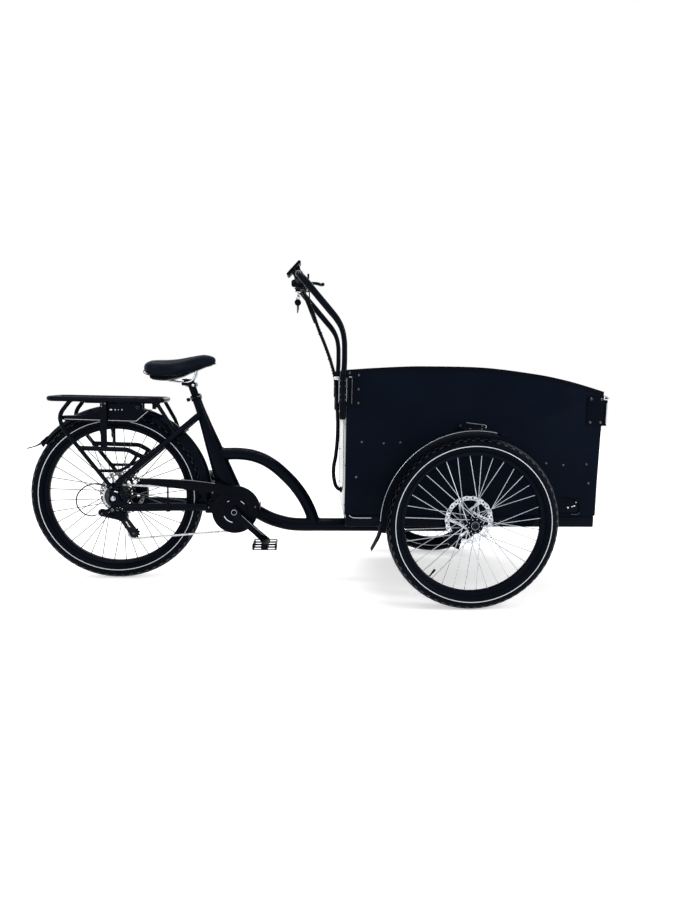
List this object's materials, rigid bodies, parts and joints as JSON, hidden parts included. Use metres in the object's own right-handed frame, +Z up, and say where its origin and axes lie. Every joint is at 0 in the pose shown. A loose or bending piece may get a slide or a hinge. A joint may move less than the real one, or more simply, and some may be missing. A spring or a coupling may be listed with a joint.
{
  "type": "electric cargo tricycle",
  "caption": "Front-box electric cargo tricycle: a flat-panelled box with a hoop handlebar steers with two front wheels about a pivot under its floor; rear wheel driven by a mid motor.",
  "frame": {"origin": "on the ground, at the middle of the footprint", "axes": "+X towards the front, +Y to the rider's left, +Z up"},
  "size_m": [2.2057, 0.8856, 1.2681],
  "materials": {
    "frame_black": "gloss black powder coat",
    "satin_black": "satin black anodised",
    "panel_black": "black film-faced board, matte",
    "plastic_black": "matte black moulding",
    "tyre_black": "black with a white reflective ring",
    "grip_black": "matte",
    "bare_steel": "brushed",
    "chain_steel": "dark oiled",
    "saddle_cover": "black synthetic cover over foam"
  },
  "bodies": {
    "rear_frame": {"main_tube": "frame_black", "loop_tube": "frame_black", "seat_tube": "frame_black", "stays_left": "frame_black", "stays_right": "frame_black", "motor_unit": "plastic_black", "chain_guard": "plastic_black", "chain": "chain_steel", "rear_fender": "plastic_black", "rear_rack": "frame_black", "rear_caliper": "satin_black", "derailleur": "satin_black", "rear_cable": "plastic_black"},
    "front_box": {"box_side_left": "panel_black", "box_side_right": "panel_black", "box_rear_panel": "panel_black", "box_front_panel": "panel_black", "box_floor": "panel_black", "front_chassis": "frame_black", "front_fender_left": "plastic_black", "front_fender_right": "plastic_black", "handlebar": "frame_black", "bar_clamp_left": "satin_black", "bar_clamp_right": "satin_black", "grip_left": "grip_black", "grip_right": "grip_black", "lever_mount_left": "satin_black", "lever_mount_right": "satin_black", "display": "plastic_black", "cable_loom": "plastic_black", "front_caliper_left": "satin_black", "front_caliper_right": "satin_black", "corner_bracket_left": "satin_black", "corner_bracket_right": "satin_black"},
    "rear_wheel_set": {"rear_tyre": "tyre_black", "rear_wheel": "satin_black", "rear_rotor": "bare_steel"},
    "front_wheel_set_left": {"front_tyre_left": "tyre_black", "front_wheel_left": "satin_black", "front_rotor_left": "bare_steel"},
    "front_wheel_set_right": {"front_tyre_right": "tyre_black", "front_wheel_right": "satin_black", "front_rotor_right": "bare_steel"},
    "crank_set": {"crank_arms": "satin_black", "chainring": "plastic_black"},
    "pedal_body_left": {"pedal_left": "plastic_black"},
    "pedal_body_right": {"pedal_right": "plastic_black"},
    "cassette_body": {"cassette": "chain_steel"},
    "guide_pulley": {"upper_pulley": "plastic_black"},
    "tension_pulley": {"lower_pulley": "plastic_black"},
    "seat": {"seatpost": "satin_black", "saddle": "saddle_cover"},
    "seat_lever": {"seat_clamp_lever": "satin_black"},
    "battery_pack": {"battery": "plastic_black"},
    "brake_lever_body_left": {"brake_lever_left": "satin_black"},
    "brake_lever_body_right": {"brake_lever_right": "satin_black"},
    "shifter_paddle": {"shift_lever": "plastic_black"},
    "key_body": {"key": "bare_steel"},
    "rear_bench_body": {"rear_bench": "panel_black"},
    "front_bench_body": {"front_bench": "panel_black"}
  },
  "joints": [
    {"name": "steering", "type": "hinge", "parent": "rear_frame", "child": "front_box", "pos_m": [0.5975, 0, 0.262], "axis": [0, 0, 1], "range_deg": [-35, 35]},
    {"name": "rear_wheel_spin", "type": "hinge", "parent": "rear_frame", "child": "rear_wheel_set", "pos_m": [-0.7625, 0, 0.333], "axis": [0, 1, 0], "continuous": true},
    {"name": "front_wheel_left_spin", "type": "hinge", "parent": "front_box", "child": "front_wheel_set_left", "pos_m": [0.5775, 0.4, 0.3124], "axis": [0, 1, 0], "continuous": true},
    {"name": "front_wheel_right_spin", "type": "hinge", "parent": "front_box", "child": "front_wheel_set_right", "pos_m": [0.5775, -0.4, 0.3124], "axis": [0, 1, 0], "continuous": true},
    {"name": "crank_spin", "type": "hinge", "parent": "rear_frame", "child": "crank_set", "pos_m": [-0.3005, 0, 0.283], "axis": [0, 1, 0], "continuous": true},
    {"name": "pedal_left_spin", "type": "hinge", "parent": "crank_set", "child": "pedal_body_left", "pos_m": [-0.42564, 0.14, 0.39807], "axis": [0, 1, 0], "continuous": true},
    {"name": "pedal_right_spin", "type": "hinge", "parent": "crank_set", "child": "pedal_body_right", "pos_m": [-0.17536, -0.14, 0.16793], "axis": [0, 1, 0], "continuous": true},
    {"name": "cassette_spin", "type": "hinge", "parent": "rear_frame", "child": "cassette_body", "pos_m": [-0.7625, -0.043, 0.333], "axis": [0, 1, 0], "continuous": true},
    {"name": "guide_pulley_spin", "type": "hinge", "parent": "rear_frame", "child": "guide_pulley", "pos_m": [-0.7425, -0.034, 0.255], "axis": [0, 1, 0], "continuous": true},
    {"name": "tension_pulley_spin", "type": "hinge", "parent": "rear_frame", "child": "tension_pulley", "pos_m": [-0.6975, -0.034, 0.187], "axis": [0, 1, 0], "continuous": true},
    {"name": "seatpost_slide", "type": "slide", "parent": "rear_frame", "child": "seat", "axis": [-0.3304, 0, 0.9439], "range_m": [-0.025, 0.1]},
    {"name": "seat_lever_swing", "type": "hinge", "parent": "rear_frame", "child": "seat_lever", "pos_m": [-0.48465, -0.023, 0.71806], "axis": [-0.3304, 0, 0.9439], "range_deg": [0, 170]},
    {"name": "battery_slide", "type": "slide", "parent": "rear_frame", "child": "battery_pack", "axis": [-1, 0, 0], "range_m": [0, 0.3]},
    {"name": "brake_lever_left_pull", "type": "hinge", "parent": "front_box", "child": "brake_lever_body_left", "pos_m": [-0.0205, 0.1015, 1.172], "axis": [0, 0, 1], "range_deg": [0, 18], "stiffness_Nm_per_rad": 1.5},
    {"name": "brake_lever_right_pull", "type": "hinge", "parent": "front_box", "child": "brake_lever_body_right", "pos_m": [-0.0205, -0.1015, 1.172], "axis": [0, 0, -1], "range_deg": [0, 18], "stiffness_Nm_per_rad": 1.5},
    {"name": "shift_lever_push", "type": "hinge", "parent": "front_box", "child": "shifter_paddle", "pos_m": [-0.0485, -0.07725, 1.1537], "axis": [0, 0, -1], "range_deg": [0, 30], "stiffness_Nm_per_rad": 0.3},
    {"name": "key_turn", "type": "hinge", "parent": "front_box", "child": "key_body", "pos_m": [-0.0625, 0, 1.14], "axis": [0, 0, 1], "range_deg": [0, 90]},
    {"name": "rear_bench_fold", "type": "hinge", "parent": "front_box", "child": "rear_bench_body", "pos_m": [0.1425, 0, 0.588], "axis": [0, -1, 0], "range_deg": [0, 80]},
    {"name": "front_bench_fold", "type": "hinge", "parent": "front_box", "child": "front_bench_body", "pos_m": [1.0575, 0, 0.516], "axis": [0, 1, 0], "range_deg": [0, 80]}
  ],
  "couplings": [
    {"joint": "cassette_spin", "follows": "crank_spin", "ratio": 1.6667},
    {"joint": "guide_pulley_spin", "follows": "crank_spin", "ratio": -3.6364},
    {"joint": "tension_pulley_spin", "follows": "crank_spin", "ratio": 3.6364}
  ]
}
